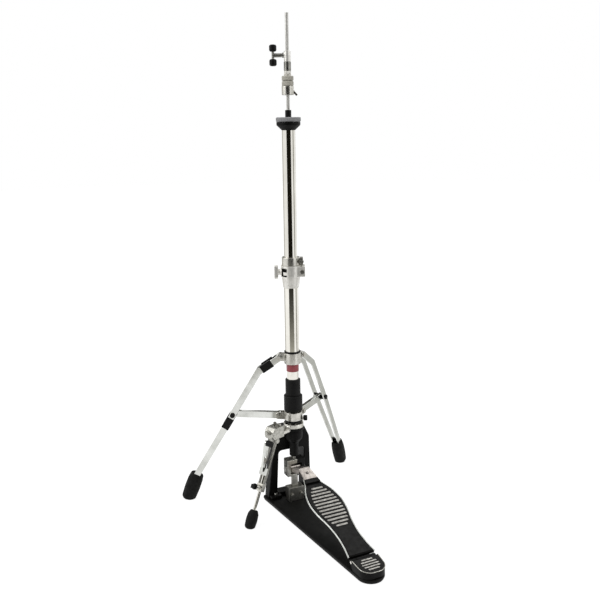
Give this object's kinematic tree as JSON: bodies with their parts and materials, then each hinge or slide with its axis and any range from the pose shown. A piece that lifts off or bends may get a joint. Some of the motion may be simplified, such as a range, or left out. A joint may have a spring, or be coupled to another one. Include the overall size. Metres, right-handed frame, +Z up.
{
  "type": "hi-hat stand",
  "caption": "Free-standing hi-hat stand with a folding tripod, side spur, sprung heel-hinged pedal, height-adjustable tube, cymbal seat and sliding clutch on a pull rod.",
  "frame": {"origin": "on the floor, at the foot of the pull rod's axis", "axes": "+Z up the pull rod, -Y along the pedal toward the heel, +X to the player's right"},
  "size_m": [0.4031, 0.4823, 0.9731],
  "materials": {
    "chrome": "polished",
    "dark_steel": "satin",
    "black_paint": "satin black",
    "black_plastic": "matte",
    "rubber": "matte",
    "cast_aluminium": "polished casting",
    "felt": "pressed felt",
    "felt_dark": "pressed felt",
    "red_paint": "gloss red"
  },
  "bodies": {
    "stand": {"floor_mat": "rubber", "base_plate": "black_paint", "pedal_frame": "black_paint", "key_bolts": "chrome", "guide_foot": "dark_steel", "heel_plate": "black_paint", "heel_ribs": "cast_aluminium", "hinge_pin": "chrome", "frame_yoke": "chrome", "column": "chrome", "return_spring": "dark_steel", "red_band": "red_paint", "lower_tube": "chrome", "clamp_body": "chrome", "clamp_bush": "black_plastic", "spur_clamp": "chrome"},
    "memory_ring": {"memory_lock": "chrome", "lock_screw": "dark_steel"},
    "clamp_screw": {"clamp_wing_screw": "chrome"},
    "upper_section": {"upper_tube": "chrome", "seat_bush": "black_plastic", "seat_cup": "black_paint", "seat_felt": "felt_dark"},
    "pull": {"pull_rods": "chrome", "rod_coupler": "dark_steel", "spring_flange": "dark_steel", "pull_block": "dark_steel", "pull_pin": "chrome"},
    "clutch": {"clutch_body": "chrome", "clutch_nuts": "dark_steel", "clutch_felts": "felt", "clutch_bottom_nut": "chrome"},
    "clutch_screw": {"clutch_wing_screw": "chrome", "clutch_wing_tips": "black_plastic"},
    "sleeve": {"tension_sleeve": "black_plastic"},
    "hub": {"tripod_hub": "chrome", "brace_pins": "dark_steel"},
    "hub_lock": {"hub_screw": "black_plastic"},
    "collar": {"tripod_collar": "chrome", "collar_ring": "black_plastic", "collar_pins": "chrome"},
    "left_leg": {"left_leg_bars": "chrome", "left_leg_bush": "black_plastic", "left_leg_sleeves": "black_plastic", "left_foot": "rubber"},
    "right_leg": {"right_leg_bars": "chrome", "right_leg_bush": "black_plastic", "right_foot": "rubber"},
    "left_strut": {"left_brace": "chrome"},
    "right_strut": {"right_brace": "chrome"},
    "pedal": {"footboard": "cast_aluminium", "footboard_pad": "black_plastic", "footboard_ribs": "cast_aluminium", "toe_bracket": "cast_aluminium"},
    "spur_leg": {"spur_bars": "chrome", "spur_boss": "chrome", "spur_screws": "black_plastic", "spur_stay": "chrome"},
    "spur_end": {"spur_rod": "chrome", "spur_foot": "rubber"}
  },
  "joints": [
    {"name": "pedal_press", "type": "hinge", "parent": "stand", "child": "pedal", "pos_m": [0, -0.283, 0.02], "axis": [-1, 0, 0], "range_deg": [0, 5.1], "stiffness_Nm_per_rad": 40, "springref_deg": -8.02},
    {"name": "rod_stroke", "type": "slide", "parent": "stand", "child": "pull", "axis": [0, 0, -1], "range_m": [0, 0.0262], "deforming": ["return_spring"]},
    {"name": "clutch_slide", "type": "slide", "parent": "pull", "child": "clutch", "axis": [0, 0, 1], "range_m": [0, 0.055]},
    {"name": "clutch_wing_turn", "type": "hinge", "parent": "clutch", "child": "clutch_screw", "pos_m": [0, 0, 0.8987], "axis": [0.907, -0.421, 0], "continuous": true},
    {"name": "seat_height", "type": "slide", "parent": "stand", "child": "upper_section", "axis": [0, 0, 1], "range_m": [-0.1, 0]},
    {"name": "memory_slide", "type": "slide", "parent": "stand", "child": "memory_ring", "axis": [0, 0, 1], "range_m": [0, 0.06]},
    {"name": "clamp_wing_turn", "type": "hinge", "parent": "stand", "child": "clamp_screw", "pos_m": [0, 0, 0.4924], "axis": [0.907, -0.421, 0], "continuous": true},
    {"name": "tension_turn", "type": "hinge", "parent": "stand", "child": "sleeve", "pos_m": [0, 0, 0.24], "axis": [0, 0, 1], "continuous": true},
    {"name": "tripod_swivel", "type": "hinge", "parent": "stand", "child": "hub", "pos_m": [0, 0, 0.194], "axis": [0, 0, 1], "range_deg": [-18, 18]},
    {"name": "hub_screw_turn", "type": "hinge", "parent": "hub", "child": "hub_lock", "pos_m": [0, 0, 0.1875], "axis": [0.907, -0.421, 0], "continuous": true},
    {"name": "tripod_fold", "type": "slide", "parent": "hub", "child": "collar", "axis": [0, 0, 1], "range_m": [0, 0.06]},
    {"name": "left_leg_fold", "type": "hinge", "parent": "collar", "child": "left_leg", "pos_m": [-0.022, 0.01385, 0.318], "axis": [0.5329, 0.8462, 0], "range_deg": [-6.4, 0]},
    {"name": "right_leg_fold", "type": "hinge", "parent": "collar", "child": "right_leg", "pos_m": [0.0209, 0.01547, 0.318], "axis": [0.5948, -0.8039, 0], "range_deg": [-6.4, 0]},
    {"name": "left_brace_fold", "type": "hinge", "parent": "hub", "child": "left_strut", "pos_m": [-0.02539, 0.01599, 0.194], "axis": [0.5329, 0.8462, 0], "range_deg": [0, 32]},
    {"name": "right_brace_fold", "type": "hinge", "parent": "hub", "child": "right_strut", "pos_m": [0.02412, 0.01784, 0.194], "axis": [0.5948, -0.8039, 0], "range_deg": [0, 32]},
    {"name": "spur_fold", "type": "hinge", "parent": "stand", "child": "spur_leg", "pos_m": [-0.05494, -0.02412, 0.1591], "axis": [-0.4019, 0.9157, 0], "range_deg": [0, 18]},
    {"name": "spur_extend", "type": "slide", "parent": "spur_leg", "child": "spur_end", "axis": [-0.3989, -0.1751, -0.9001], "range_m": [-0.018, 0.02]}
  ],
  "couplings": [
    {"joint": "rod_stroke", "follows": "pedal_press", "m_per_rad": 0.29051},
    {"joint": "left_leg_fold", "follows": "tripod_fold", "rad_per_m": -1.827},
    {"joint": "right_leg_fold", "follows": "tripod_fold", "rad_per_m": -1.827},
    {"joint": "left_brace_fold", "follows": "tripod_fold", "rad_per_m": 9.245},
    {"joint": "right_brace_fold", "follows": "tripod_fold", "rad_per_m": 9.245}
  ]
}
